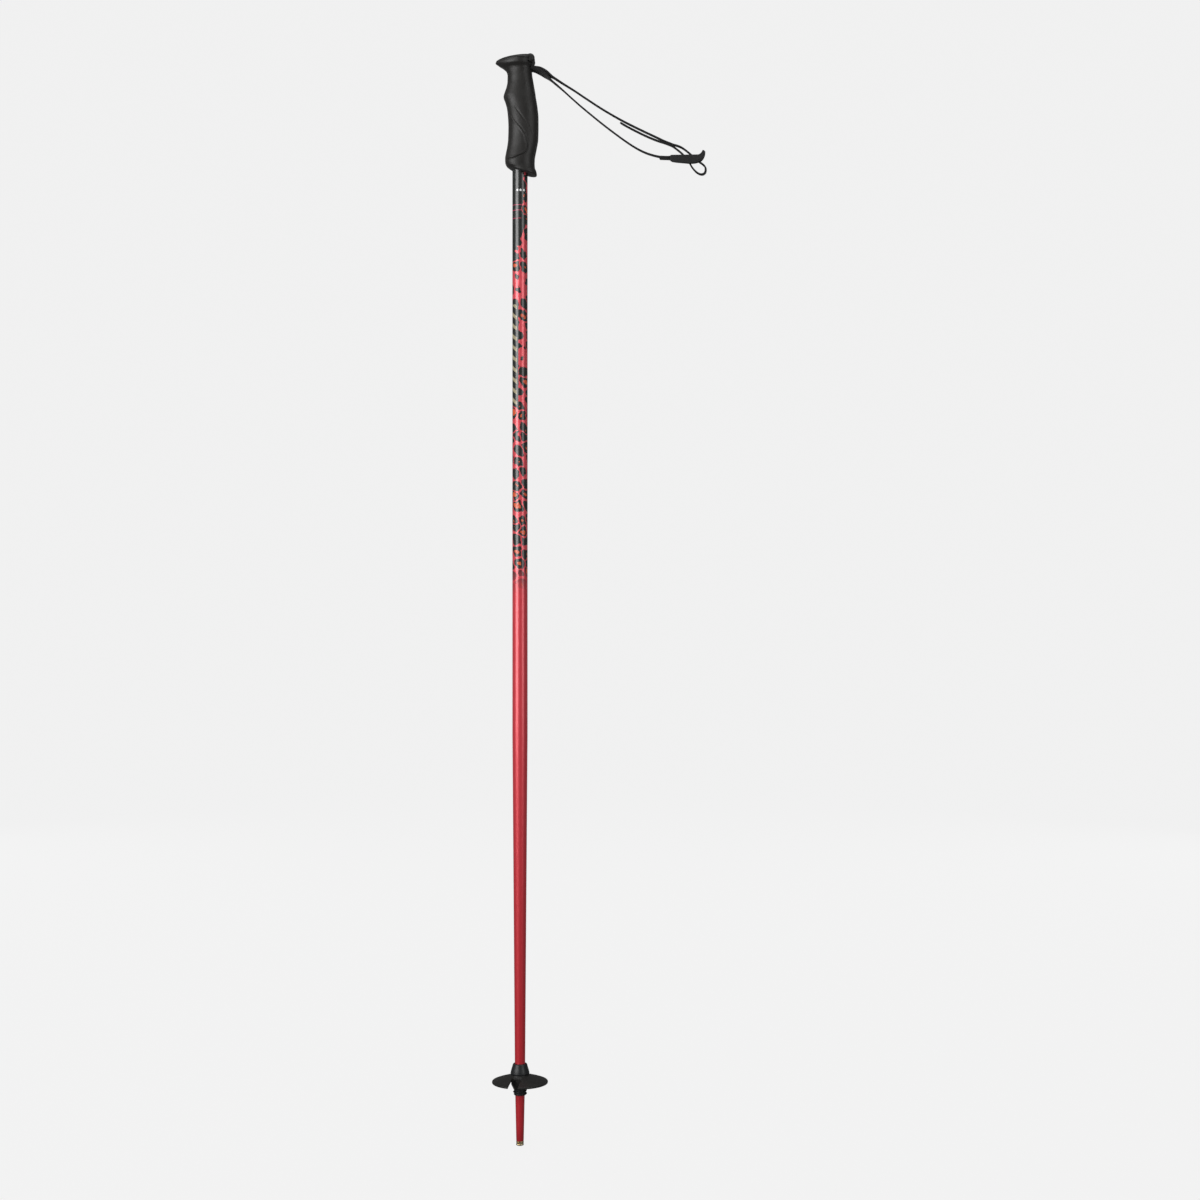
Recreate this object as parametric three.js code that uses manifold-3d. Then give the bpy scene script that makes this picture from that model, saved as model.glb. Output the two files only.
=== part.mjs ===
// Ski pole: a tapered aluminium shaft with a moulded grip, a webbing wrist strap with a ladder buckle,
// a basket turning on a threaded ferrule and a hollow-ground steel tip. Millimetres, +Z up the shaft,
// origin at the end of the tip. The beak of the grip points to -X and the strap leaves towards +X.
import * as THREE from 'three';
import { mergeVertices } from 'three/addons/utils/BufferGeometryUtils.js';
import Module from 'manifold-3d';

const wasm = await Module();
wasm.setup();

// Driving dimensions.
const GAP = 0.3; // between pieces that nest or touch
const LENGTH = 1150; // tip end to the top of the grip
const ROUND = 48; // sides of a turned piece

const SHAFT_R = 8;
const SHAFT_WALL = 1;
const SHAFT_FOOT_Z = 4.8;
const SHAFT_TOP_Z = 1124.3;
const TAPER_TOP_Z = 432; // the tube is parallel above this height
const TAPER_MID_Z = 86.5;
const TAPER_MID_R = 5.45;
const TAPER_LOW_Z = 52.7;
const TAPER_LOW_R = 4.98;
const SHAFT_FOOT_R = 3.95;

const TIP_R = 4;
const TIP_RIM_R = 2.6; // where the hollow-ground cup begins
const TIP_CUP = 2.2;
const TIP_SHANK_TOP_Z = 31;

const FERRULE_FOOT_Z = 53.1;
const FERRULE_TOP_Z = 86.4;
const FERRULE_SLEEVE_R = 6.3;
const FERRULE_SEAT_Z = 75.3; // underside of the cone, which the basket turns against
const BASKET_R = 29.5;
const BASKET_HUB_R = 9.4;
const BASKET_FOOT_Z = 60.4;
const SLOT_WIDTH = 11;
const SLOT_START_R = 10.2;
const SLOT_TURN = THREE.MathUtils.degToRad(-103); // towards the front, a little to the beak's side

const CORE_R = 9.6;
const CORE_FOOT_Z = 1031.3;
const CORE_TOP_Z = LENGTH - 7;
const HEAD_SPLIT_Z = LENGTH - 6.7; // top of the soft grip, under the cap
const CAP_FOOT_Z = HEAD_SPLIT_Z + GAP;
const ROLL = { x: 11.15, z: LENGTH - 5.7, r: 4.6, half: 12.4 }; // rolled lip behind the cap
const SCREW_X = -6.2;
const SCREW_R = 1.3;
const SCREW_HEAD_R = 3;

const STRAP_WIDTH = 15;
const STRAP_THICK = 1.5;
const STRAP_ROOM = STRAP_WIDTH / 2 + 0.4; // half width of a slot that the webbing passes
const LAYER = (STRAP_THICK + GAP) / 2; // from the fold's middle to the middle of one layer
const PIN = { x: 1, z: LENGTH - 12.7, r: 1.6 };
const MOUTH = { x: 14, z: LENGTH - 14.7 }; // the strap swings here
const STRAP_WAY = new THREE.Vector3(0.8655, 0, -0.5009); // from the mouth towards the buckle
const STRAP_LIE = 12.7; // degrees that the strap and buckle lie over, with their far edge up
const STRAP_ROLLS = [[0, 0], [11, -7], [16, -7], [48, STRAP_LIE]]; // distance from the mouth, degrees

const BUCKLE_WIDTH = 20.5;
const BAR = { x: 163.4, z: 1041, r: 1.5 };

// --- geometry helpers ---

function faces(positions, indices) {
  const made = new THREE.BufferGeometry();
  made.setAttribute('position', new THREE.Float32BufferAttribute(positions, 3));
  made.setIndex(indices);
  return made;
}

/** One closed body: shared corners merged, empty triangles dropped, faces pointing out. */
function closed(geometry) {
  const bare = geometry.clone();
  bare.deleteAttribute('normal');
  bare.deleteAttribute('uv');
  const merged = mergeVertices(bare, 1e-4);
  const at = merged.getAttribute('position').array;
  const kept = [];
  let volume = 0;
  for (let i = 0; i < merged.index.count; i += 3) {
    const [a, b, c] = merged.index.array.subarray(i, i + 3);
    if (a !== b && b !== c && c !== a) {
      kept.push([a, b, c]);
      const corner = (k) => new THREE.Vector3().fromArray(at, 3 * k);
      volume += corner(a).dot(corner(b).cross(corner(c)));
    }
  }
  const order = volume > 0 ? kept : kept.map(([a, b, c]) => [a, c, b]);
  return faces(at, order.flat());
}

function solid(geometry) {
  const mesh = closed(geometry);
  return new wasm.Manifold(new wasm.Mesh({
    numProp: 3,
    vertProperties: Float32Array.from(mesh.getAttribute('position').array),
    triVerts: Uint32Array.from(mesh.index.array),
  }));
}

function fromSolid(body) {
  const mesh = body.getMesh();
  return faces(Array.from(mesh.vertProperties), Array.from(mesh.triVerts));
}

/** A turned solid: the profile is a list of [radius, height]. */
function turned(profile, { loops = false, x = 0, sides = ROUND } = {}) {
  const points = profile.map(([r, z]) => new THREE.Vector2(r, z));
  if (loops) {
    points.push(points[0].clone());
  }
  return new THREE.LatheGeometry(points, sides).rotateX(Math.PI / 2).translate(x, 0, 0);
}

/** A side outline of [x, z] points or a Shape, as thick as width and centred on the pole's plane. */
function slab(outline, width) {
  const shape = Array.isArray(outline)
    ? new THREE.Shape(outline.map(([x, z]) => new THREE.Vector2(x, z)))
    : outline;
  const options = { depth: width, bevelEnabled: false, curveSegments: 8 };
  return new THREE.ExtrudeGeometry(shape, options).rotateX(Math.PI / 2).translate(0, width / 2, 0);
}

/** A round bar across the pole's plane. */
function crossBar({ x, z, r }, length, sides = 20) {
  return new THREE.CylinderGeometry(r, r, length, sides).translate(x, 0, z);
}

/** A solid through rings of equally many points, from the lowest to the highest. */
function loft(rings) {
  const sides = rings[0].length;
  const positions = rings.flat().flatMap((p) => [p.x, p.y, p.z]);
  const indices = [];
  for (let ring = 0; ring + 1 < rings.length; ring += 1) {
    for (let i = 0; i < sides; i += 1) {
      const a = ring * sides + i;
      const b = ring * sides + ((i + 1) % sides);
      indices.push(a, b, b + sides, a, b + sides, a + sides);
    }
  }
  const last = (rings.length - 1) * sides;
  for (let i = 1; i + 1 < sides; i += 1) {
    indices.push(0, i + 1, i);
    indices.push(last, last + i, last + i + 1);
  }
  return faces(positions, indices);
}

/** A hand-shaped ring: front and rear reach along X, half width along Y, narrowed towards the beak. */
function palmRing([z, front, rear, half, beak]) {
  const sides = 56;
  const middle = (front + rear) / 2;
  const reach = (rear - front) / 2;
  const roundness = 0.88;
  const ring = [];
  for (let i = 0; i < sides; i += 1) {
    const turn = (2 * Math.PI * i) / sides;
    const along = Math.sign(Math.cos(turn)) * Math.abs(Math.cos(turn)) ** roundness;
    const across = Math.sign(Math.sin(turn)) * Math.abs(Math.sin(turn)) ** roundness;
    const narrowing = 1 - beak * ((1 - along) / 2) ** 2;
    ring.push(new THREE.Vector3(middle + reach * along, half * across * narrowing, z));
  }
  return ring;
}

/** Turns about the line from the strap's mouth to its buckle. */
function strapTurn(degrees) {
  const there = new THREE.Matrix4().makeTranslation(MOUTH.x, 0, MOUTH.z);
  const turn = new THREE.Matrix4().makeRotationAxis(STRAP_WAY, THREE.MathUtils.degToRad(degrees));
  return there.clone().multiply(turn).multiply(there.clone().invert());
}

/** How far the strap lies over at a distance from its mouth, in degrees. */
function rollAt(distance) {
  const last = STRAP_ROLLS.length - 1;
  const next = STRAP_ROLLS.findIndex(([reach]) => reach > distance);
  if (next < 1) {
    return STRAP_ROLLS[next < 0 ? last : 0][1];
  }
  const [[from, before], [to, after]] = STRAP_ROLLS.slice(next - 1, next + 1);
  return before + (after - before) * THREE.MathUtils.smoothstep(distance, from, to);
}

/** Webbing whose middle follows [x, z] points. */
function ribbon(route, steps) {
  const points = route.map(([x, z]) => new THREE.Vector3(x, 0, z));
  const curve = new THREE.CatmullRomCurve3(points, false, 'centripetal');
  const corners = [[1, 1], [1, -1], [-1, -1], [-1, 1]];
  const rings = [];
  for (let i = 0; i <= steps; i += 1) {
    const at = curve.getPointAt(i / steps);
    const way = curve.getTangentAt(i / steps);
    const up = new THREE.Vector3(-way.z, 0, way.x).multiplyScalar(STRAP_THICK / 2);
    const over = strapTurn(rollAt(Math.hypot(at.x - MOUTH.x, at.z - MOUTH.z)));
    rings.push(corners.map(([height, side]) => (
      at.clone().addScaledVector(up, height).setY((side * STRAP_WIDTH) / 2).applyMatrix4(over)
    )));
  }
  return loft(rings);
}

/** Webbing folded round a bar, with both layers running together to the fold's open end. */
function fold(bar, end) {
  const inner = bar.r + GAP;
  const outer = inner + STRAP_THICK;
  const near = GAP / 2;
  const far = near + STRAP_THICK;
  const back = Math.sign(bar.x - end.x);
  const turnAt = (r, a) => [bar.x + back * r * Math.cos(a), bar.z + r * Math.sin(a)];
  const arc = (r, from, to) => {
    const points = [];
    for (let i = 0; i <= 10; i += 1) {
      points.push(turnAt(r, from + ((to - from) * i) / 10));
    }
    return points;
  };
  const quarter = Math.PI / 2;
  return slab([
    [end.x, end.z + far],
    ...arc(outer, quarter, -quarter),
    [end.x, end.z - far],
    [end.x, end.z - near],
    ...arc(inner, -quarter, quarter),
    [end.x, end.z + near],
  ], STRAP_WIDTH);
}

// --- shaft and tip ---

function shaft() {
  const outside = [
    [SHAFT_FOOT_R, SHAFT_FOOT_Z],
    [TAPER_LOW_R, TAPER_LOW_Z],
    [TAPER_MID_R, TAPER_MID_Z],
    [SHAFT_R, TAPER_TOP_Z],
    [SHAFT_R, SHAFT_TOP_Z],
  ];
  const inside = outside.map(([r, z]) => [r - SHAFT_WALL, z]).reverse();
  return closed(turned([...outside, ...inside], { loops: true }));
}

function tipInsert() {
  const shankR = SHAFT_FOOT_R - SHAFT_WALL - GAP;
  const chamfer = 0.5;
  const shoulderZ = SHAFT_FOOT_Z - GAP;
  return closed(turned([
    [0, TIP_CUP],
    [TIP_RIM_R, 0],
    [TIP_R - chamfer, 0],
    [TIP_R, chamfer],
    [TIP_R, shoulderZ - 0.3],
    [TIP_R - 0.2, shoulderZ],
    [shankR, shoulderZ],
    [shankR, TIP_SHANK_TOP_Z - 1],
    [shankR - 0.5, TIP_SHANK_TOP_Z],
    [0, TIP_SHANK_TOP_Z],
  ], { sides: 36 }));
}

// --- basket ---

function basketFerrule() {
  const footR = TAPER_LOW_R + GAP;
  const topR = TAPER_MID_R + GAP;
  return closed(turned([
    [footR, FERRULE_FOOT_Z],
    [6.2, FERRULE_FOOT_Z],
    [6.9, 54.2],
    [7.1, 55.2],
    [6.6, 56.4],
    [7.35, 58],
    [7.35, 59.3],
    [FERRULE_SLEEVE_R, 60],
    [FERRULE_SLEEVE_R, FERRULE_SEAT_Z],
    [9.7, FERRULE_SEAT_Z],
    [10, 75.7],
    [10, 76.9],
    [9.8, 78.1],
    [9, 80.2],
    [8.4, 82.3],
    [7.6, 85.2],
    [7.1, 86.1],
    [6.4, FERRULE_TOP_Z],
    [topR, FERRULE_TOP_Z],
  ], { loops: true }));
}

function basket() {
  const bore = FERRULE_SLEEVE_R + GAP;
  const topZ = FERRULE_SEAT_Z - GAP;
  const disc = solid(turned([
    [bore, BASKET_FOOT_Z],
    [7.4, BASKET_FOOT_Z],
    [BASKET_HUB_R - 0.1, 64.4],
    [BASKET_HUB_R, 71],
    [15, 70.2],
    [22, 68.5],
    [27.5, 66.6],
    [BASKET_R - 0.2, 65.9],
    [BASKET_R, 66.4],
    [BASKET_R, 67.4],
    [BASKET_R - 0.5, 67.9],
    [25, 69.4],
    [20, 71],
    [15, 72.4],
    [11, 73.4],
    [9.9, 73.8],
    [9.9, topZ],
    [bore, topZ],
  ], { loops: true, sides: 64 }));
  const slotLength = BASKET_R - SLOT_START_R + 5;
  let cut = disc;
  for (const turn of [SLOT_TURN, SLOT_TURN + Math.PI]) {
    const slot = new THREE.BoxGeometry(slotLength, SLOT_WIDTH, 20);
    slot.translate(SLOT_START_R + slotLength / 2, 0, 70).rotateZ(turn);
    cut = cut.subtract(solid(slot));
  }
  return fromSolid(cut);
}

// --- grip ---

/** The webbing's way in from behind the grip to the pin. */
function strapChannel() {
  return solid(slab([
    [PIN.x - 3.8, PIN.z - 4],
    [PIN.x + 4, PIN.z - 3.9],
    [19, PIN.z - 5.3],
    [19, PIN.z + 1.5],
    [9, PIN.z + 2.1],
    [PIN.x + 4, PIN.z + 3.9],
    [PIN.x - 3.8, PIN.z + 3.9],
  ], 2 * STRAP_ROOM));
}

function rollSpace(margin) {
  const { x, z, r, half } = ROLL;
  return solid(crossBar({ x, z, r: r + margin }, 2 * (half + margin), 32));
}

function gripCore() {
  const boreR = SHAFT_R + GAP;
  const sleeve = solid(turned([
    [boreR, CORE_FOOT_Z],
    [CORE_R, CORE_FOOT_Z],
    [CORE_R, CORE_TOP_Z],
    [0, CORE_TOP_Z],
    [0, SHAFT_TOP_Z + GAP],
    [boreR, SHAFT_TOP_Z + GAP],
  ], { loops: true }));
  const screwHole = solid(turned([
    [0, LENGTH - 20],
    [SCREW_R + GAP, LENGTH - 20],
    [SCREW_R + GAP, LENGTH],
    [0, LENGTH],
  ], { x: SCREW_X, sides: 24 }));
  return fromSolid(sleeve
    .subtract(strapChannel())
    .subtract(solid(crossBar({ ...PIN, r: PIN.r + GAP }, 40)))
    .subtract(screwHole)
    .subtract(rollSpace(GAP)));
}

function gripBody() {
  const outside = solid(loft([
    [1016, -9.3, 17.6, 13.2, 0],
    [1023.4, -9.3, 17.8, 13.3, 0],
    [1027.6, -9.5, 17, 13.2, 0],
    [1029.6, -11, 16, 13.2, 0],
    [1032.6, -14.3, 15.6, 13.4, 0],
    [1036, -15.5, 15.5, 13.7, 0],
    [1040, -15.7, 15.7, 13.8, 0],
    [1046, -14.8, 16.7, 13.7, 0],
    [1052, -13.6, 17.9, 13.6, 0],
    [1061, -12.5, 19.3, 13.7, 0],
    [1074, -12.2, 19.6, 13.8, 0],
    [1084, -12.7, 19.5, 13.8, 0],
    [1093, -13.7, 18.7, 13.7, 0],
    [1099.3, -15.4, 17.8, 13.6, 0],
    [1105.6, -17.3, 16.7, 13.5, 0],
    [1109.5, -16.3, 16.2, 13.3, 0],
    [1115, -14.4, 15.2, 13, 0],
    [1121.5, -13.2, 14.1, 12.8, 0.05],
    [1127.8, -13.1, 13, 13, 0.1],
    [1132, -14.3, 12.7, 13.4, 0.2],
    [1135.5, -18, 12.8, 14.4, 0.35],
    [1137.4, -21.2, 13, 15.9, 0.43],
    [1138.9, -23.4, 13.2, 17.2, 0.5],
    [1140.8, -25.8, 13.8, 17.9, 0.6],
    [HEAD_SPLIT_Z, -24.8, 14.4, 18.1, 0.6],
  ].map(palmRing)));
  const coreRoom = solid(turned([
    [0, CORE_FOOT_Z - GAP],
    [CORE_R + GAP, CORE_FOOT_Z - GAP],
    [CORE_R + GAP, LENGTH],
    [0, LENGTH],
  ]));
  const shaftRoom = solid(turned([
    [0, 1000],
    [SHAFT_R + GAP, 1000],
    [SHAFT_R + GAP, CORE_FOOT_Z],
    [0, CORE_FOOT_Z],
  ]));
  // The bottom edge slopes down from the front to the heel of the hand.
  const below = solid(slab([[-40, 1000], [40, 1000], [40, 1016.2], [-40, 1037.2]], 60));
  return fromSolid(outside
    .subtract(below)
    .subtract(coreRoom)
    .subtract(shaftRoom)
    .subtract(strapChannel())
    .subtract(rollSpace(GAP)));
}

function headCap() {
  const top = solid(loft([
    [CAP_FOOT_Z, -24.3, 14.2, 18.1, 0.6],
    [LENGTH - 5.4, -22.6, 14.6, 17.9, 0.6],
    [LENGTH - 4.4, -20.6, 14.9, 16.9, 0.6],
    [LENGTH - 3.2, -17.6, 15, 15, 0.6],
    [LENGTH - 1.7, -11.8, 14.6, 11.2, 0.6],
    [LENGTH - 0.7, -6.6, 13.9, 7.6, 0.55],
    [LENGTH, -2.5, 12.6, 4, 0.5],
  ].map(palmRing)));
  const countersink = solid(turned([
    [0, LENGTH - 20],
    [SCREW_R + GAP, LENGTH - 20],
    [SCREW_R + GAP, LENGTH - 4.9],
    [SCREW_HEAD_R + 0.35, LENGTH - 2.9],
    [SCREW_HEAD_R + 0.35, LENGTH + 2],
    [0, LENGTH + 2],
  ], { x: SCREW_X, sides: 24 }));
  return fromSolid(top.add(rollSpace(0)).subtract(countersink));
}

function capScrew() {
  const headZ = LENGTH - 1.7;
  return closed(turned([
    [0, headZ - 17],
    [SCREW_R, headZ - 15.6],
    [SCREW_R, headZ - 2.7],
    [SCREW_HEAD_R, headZ - 0.9],
    [SCREW_HEAD_R, headZ],
    [1.4, headZ],
    [0, headZ - 1.4],
  ], { x: SCREW_X, sides: 24 }));
}

function strapPin() {
  return closed(crossBar(PIN, 18));
}

// --- strap: its middle lines at rest, from the grip's rear slot to the buckle ---

const UPPER_ROUTE = [
  [MOUTH.x, MOUTH.z + LAYER],
  [21.1, 1134.4],
  [27.5, 1131.2],
  [33, 1127.6],
  [44.3, 1120.2],
  [57.3, 1112.1],
  [67.3, 1105.4],
  [86.5, 1092.9],
  [106.3, 1081.4],
  [127, 1070.8],
  [148, 1061.5],
  [161.4, 1056],
  [170.5, 1051.6],
  [178.6, 1046.1],
];
const LOWER_ROUTE = [
  [MOUTH.x, MOUTH.z - LAYER],
  [21.1, 1132.1],
  [27.5, 1128.1],
  [34.8, 1121.6],
  [44.3, 1113.6],
  [54.5, 1104.4],
  [64.6, 1095.6],
  [94.2, 1071.8],
  [121.1, 1052.9],
  [134, 1046.5],
  [146.7, 1042.9],
];
const LOOP_ROUTE = [
  [178.9, 1045.8],
  [181.9, 1043.2],
  [185.6, 1040],
  [189.3, 1036.9],
  [192.6, 1034.6],
  [195.4, 1031.6],
  [195.9, 1028.2],
  [194.9, 1025.4],
  [192.4, 1024.1],
  [189.4, 1024.5],
  [185.9, 1026.7],
  [181.9, 1031.1],
  [179.3, 1035.4],
  [176.8, 1039.4],
  [173.8, 1042.9],
  [171, 1045.7],
];
const TAIL_ROUTE = [
  [170.7, 1046],
  [166.4, 1049.3],
  [158, 1053.9],
  [148, 1058.4],
  [134.6, 1064.3],
  [120, 1071.3],
  [106.3, 1078.7],
];

function strapRoot() {
  return closed(fold(PIN, { x: MOUTH.x - 2, z: MOUTH.z }));
}

function strapBarFold() {
  return closed(fold(BAR, { x: 147, z: 1042.8 }).applyMatrix4(strapTurn(STRAP_LIE)));
}

// --- buckle ---

function buckle() {
  const side = new THREE.Shape();
  side.moveTo(159.2, 1038.6);
  side.lineTo(159.2, 1043.6);
  side.quadraticCurveTo(159.3, 1044.5, 160.4, 1044.5);
  side.lineTo(188.6, 1044.5);
  side.quadraticCurveTo(191.6, 1045.2, 193.2, 1048.9);
  side.quadraticCurveTo(194.3, 1049.6, 195, 1047.9);
  side.quadraticCurveTo(195.4, 1042, 191.2, 1038);
  side.quadraticCurveTo(186.5, 1035.6, 182, 1035.5);
  side.quadraticCurveTo(178, 1035.3, 174, 1035.9);
  side.quadraticCurveTo(166, 1036.5, 160.4, 1037.5);
  side.quadraticCurveTo(159.4, 1037.7, 159.2, 1038.6);
  const barWindow = [[158, 1030], [168, 1030], [168, 1050], [158, 1050]];
  const tailSlot = [[168.6, 1046], [174, 1046], [181.6, 1034.6], [176.4, 1034.6]];
  const upperSlot = [
    [176.4, 1046],
    [181.9, 1046],
    [192.2, 1037.4],
    [192.2, 1033],
    [185.4, 1033],
    [185.4, 1037.4],
  ];
  let body = solid(slab(side, BUCKLE_WIDTH));
  for (const outline of [barWindow, tailSlot, upperSlot]) {
    body = body.subtract(solid(slab(outline, 2 * STRAP_ROOM)));
  }
  const whole = body.add(solid(crossBar(BAR, BUCKLE_WIDTH - 2, 16)));
  return fromSolid(whole).applyMatrix4(strapTurn(STRAP_LIE));
}

// --- assembly ---

const ALUMINIUM_RED = { color: 0xc8404c, roughness: 0.3, metalness: 0.5 };
const STEEL = { color: 0x8f8066, roughness: 0.3, metalness: 1 };
const ZINC = { color: 0xa9acae, roughness: 0.4, metalness: 1 };
const HARD_BLACK = { color: 0x2b2b2b, roughness: 0.55, metalness: 0 };
const SOFT_BLACK = { color: 0x302f2e, roughness: 0.75, metalness: 0 };
const WEBBING_BLACK = { color: 0x1c1c1c, roughness: 0.95, metalness: 0 };

const pieces = [
  ['shaft', shaft(), ALUMINIUM_RED],
  ['tip_insert', tipInsert(), STEEL],
  ['basket_ferrule', basketFerrule(), HARD_BLACK],
  ['basket', basket(), HARD_BLACK],
  ['grip_core', gripCore(), HARD_BLACK],
  ['grip_body', gripBody(), SOFT_BLACK],
  ['head_cap', headCap(), HARD_BLACK],
  ['cap_screw', capScrew(), ZINC],
  ['strap_pin', strapPin(), ZINC],
  ['strap_root', strapRoot(), WEBBING_BLACK],
  ['strap_upper_run', closed(ribbon(UPPER_ROUTE, 40)), WEBBING_BLACK],
  ['strap_lower_run', closed(ribbon(LOWER_ROUTE, 40)), WEBBING_BLACK],
  ['strap_slack_loop', closed(ribbon(LOOP_ROUTE, 44)), WEBBING_BLACK],
  ['strap_tail', closed(ribbon(TAIL_ROUTE, 16)), WEBBING_BLACK],
  ['strap_bar_fold', strapBarFold(), WEBBING_BLACK],
  ['buckle', buckle(), HARD_BLACK],
];

const skiPole = new THREE.Group();
for (const [name, geometry, look] of pieces) {
  const mesh = new THREE.Mesh(geometry, new THREE.MeshStandardMaterial(look));
  mesh.name = name;
  skiPole.add(mesh);
}

export default skiPole;
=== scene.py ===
"""Looks for a ski pole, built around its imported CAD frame.

The frame's axes: +Z up the shaft from the end of the tip, the grip's beak towards -X, the strap towards +X.
The pieces' sizes are in millimetres, as on a drawing, and become metres where meshes are made. The stage, the
lights and the materials are in metres.
"""

import math

import bmesh
import bpy
import numpy as np
from mathutils import Matrix, Vector


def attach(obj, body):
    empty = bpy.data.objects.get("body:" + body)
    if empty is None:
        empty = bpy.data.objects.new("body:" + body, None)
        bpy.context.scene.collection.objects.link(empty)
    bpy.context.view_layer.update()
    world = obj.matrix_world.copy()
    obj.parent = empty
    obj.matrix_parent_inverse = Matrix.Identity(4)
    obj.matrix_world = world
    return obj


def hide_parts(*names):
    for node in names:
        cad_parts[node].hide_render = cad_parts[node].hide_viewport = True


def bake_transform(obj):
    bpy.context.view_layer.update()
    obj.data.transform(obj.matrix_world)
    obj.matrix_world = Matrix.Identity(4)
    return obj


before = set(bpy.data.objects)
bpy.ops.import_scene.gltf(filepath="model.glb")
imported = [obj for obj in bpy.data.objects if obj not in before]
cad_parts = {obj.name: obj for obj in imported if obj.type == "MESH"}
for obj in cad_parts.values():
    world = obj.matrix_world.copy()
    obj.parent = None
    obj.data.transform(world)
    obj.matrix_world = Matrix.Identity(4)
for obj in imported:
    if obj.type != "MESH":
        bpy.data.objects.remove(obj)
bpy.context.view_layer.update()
scene = bpy.context.scene

MM = 0.001

# Strap: the webbing's section, the mouth of its slot, and how it lies.
STRAP_WIDTH = 15
STRAP_THICK = 1.8
STRAP_STEP = 0.45  # between sections along the webbing
SELVEDGE, SELVEDGE_PITCH = 0.05, 1.8  # small waves along the webbing's edges
MOUTH = (14, 1135.3)
STRAP_WAY = Vector((0.8655, 0, -0.5009))  # from the mouth towards the buckle
STRAP_LIE = 12.7  # degrees that the strap and buckle lie over, with their far edge up
STRAP_ROLLS = ((0, 8, 12, 25, 45), (0, -6, -6, 8.5, STRAP_LIE - 2.2))  # distances from the mouth, degrees

# Shaft: the taper's heights and radii, and where its printed bands are.
SHAFT_R = 8
SHAFT_PROFILE = ((3.95, 4.8), (4.98, 52.7), (5.45, 86.5), (8, 432), (8, 1124.3))
PRINT_FADES = (583, 620)  # the spots fade out downwards between these heights
PANEL_FOOT = 930  # the black panel under the grip starts here
PANEL_STRIP = (780, 886)  # black strip on the beak's side

# Head: the rolled lip's middle [x, z], the screw's place, and how square the grip's and the head's ovals are.
LIP_AT = (11.15, 1144.3)
SCREW_X = -6.2
OVAL_POWER = 0.88


# --- camera and stage ---

def camera():
    """Stands level with the pole's middle, two metres away, a little to the strap's side."""
    distance, frame_width, sensor = 2.0, 1.266, 36
    made = bpy.data.objects.new("camera", bpy.data.cameras.new("camera"))
    scene.collection.objects.link(made)
    made.location = (0.0844, -distance, 0.575)
    made.rotation_euler = (math.radians(90), 0, 0)
    made.data.sensor_width = sensor
    made.data.lens = sensor * distance / frame_width
    made.data.clip_end = 50
    scene.camera = made


def softbox(name, azimuth, distance, height, size, power, mirrored=True):
    """A tall area light round the pole; azimuth 0 is the camera's side, positive towards the strap.

    One that isn't mirrored lights surfaces without a reflection, so the rims of round pieces stay dark.
    """
    aim = 0.62
    light = bpy.data.lights.new(name, "AREA")
    light.shape = "RECTANGLE"
    light.size, light.size_y = size
    light.energy = power
    made = bpy.data.objects.new(name, light)
    scene.collection.objects.link(made)
    turn = math.radians(azimuth)
    made.location = (distance * math.sin(turn), -distance * math.cos(turn), height)
    way = Vector((0, 0, aim)) - made.location
    made.rotation_euler = way.to_track_quat("-Z", "Y").to_euler()
    made.visible_camera = False
    made.visible_glossy = mirrored


def stage():
    """A pale floor that rises all round into a wall, with softboxes at both sides, above and behind."""
    flat, wall, top, columns = 3.4, 6.4, 7.0, 96
    bend = wall - flat
    profile = [(0.001, 0), (1.2, 0), (flat, 0)]
    rise = np.linspace(0.1, math.pi / 2, 16)
    profile += [(flat + bend * math.sin(a), bend * (1 - math.cos(a))) for a in rise]
    profile.append((wall, top))
    rings = turned_points(np.array(profile), columns)
    floor = solid("floor", rings / MM, [tuple(range(columns)), *grid_faces(len(profile), columns)])
    floor.data.materials.append(floor_look())
    floor.visible_glossy = False
    floor.visible_diffuse = False
    shade(floor, 60)
    softbox("softbox_left", -45, 2.7, 1.25, (1.9, 2.1), 64)
    softbox("softbox_right", 47, 2.7, 1.25, (1.2, 2.1), 20)
    softbox("softbox_top", 0, 0.4, 3.2, (2.2, 1.6), 20)
    softbox("softbox_back_left", -140, 2.8, 1.3, (1.4, 2.1), 34, mirrored=False)
    softbox("softbox_back_right", 140, 2.8, 1.3, (1.4, 2.1), 34, mirrored=False)
    world = bpy.data.worlds.new("studio")
    world.use_nodes = True
    world.node_tree.nodes["Background"].inputs["Color"].default_value = (0.11, 0.11, 0.112, 1)
    scene.world = world
    scene.view_settings.view_transform = "Standard"
    scene.view_settings.look = "None"


# --- meshes ---

def solid(name, points, faces):
    """A mesh object from points in millimetres, with its faces pointing out."""
    mesh = bpy.data.meshes.new(name)
    mesh.from_pydata((np.asarray(points, float).reshape(-1, 3) * MM).tolist(), [], faces)
    work = bmesh.new()
    work.from_mesh(mesh)
    bmesh.ops.recalc_face_normals(work, faces=work.faces)
    work.to_mesh(mesh)
    work.free()
    obj = bpy.data.objects.new(name, mesh)
    scene.collection.objects.link(obj)
    return obj


def grid_faces(rows, columns, closed=False, first=0):
    """Quads between rows of points that go round; closed also joins the last row to the first."""
    faces = []
    for row in range(rows if closed else rows - 1):
        here = first + row * columns
        there = first + ((row + 1) % rows) * columns
        for column in range(columns):
            after = (column + 1) % columns
            faces.append((here + column, here + after, there + after, there + column))
    return faces


def capped_faces(rows, columns, first=0):
    """As grid_faces, with a face over each end."""
    last = first + (rows - 1) * columns
    ends = [tuple(range(first, first + columns)), tuple(range(last, last + columns))]
    return grid_faces(rows, columns, first=first) + ends


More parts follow.
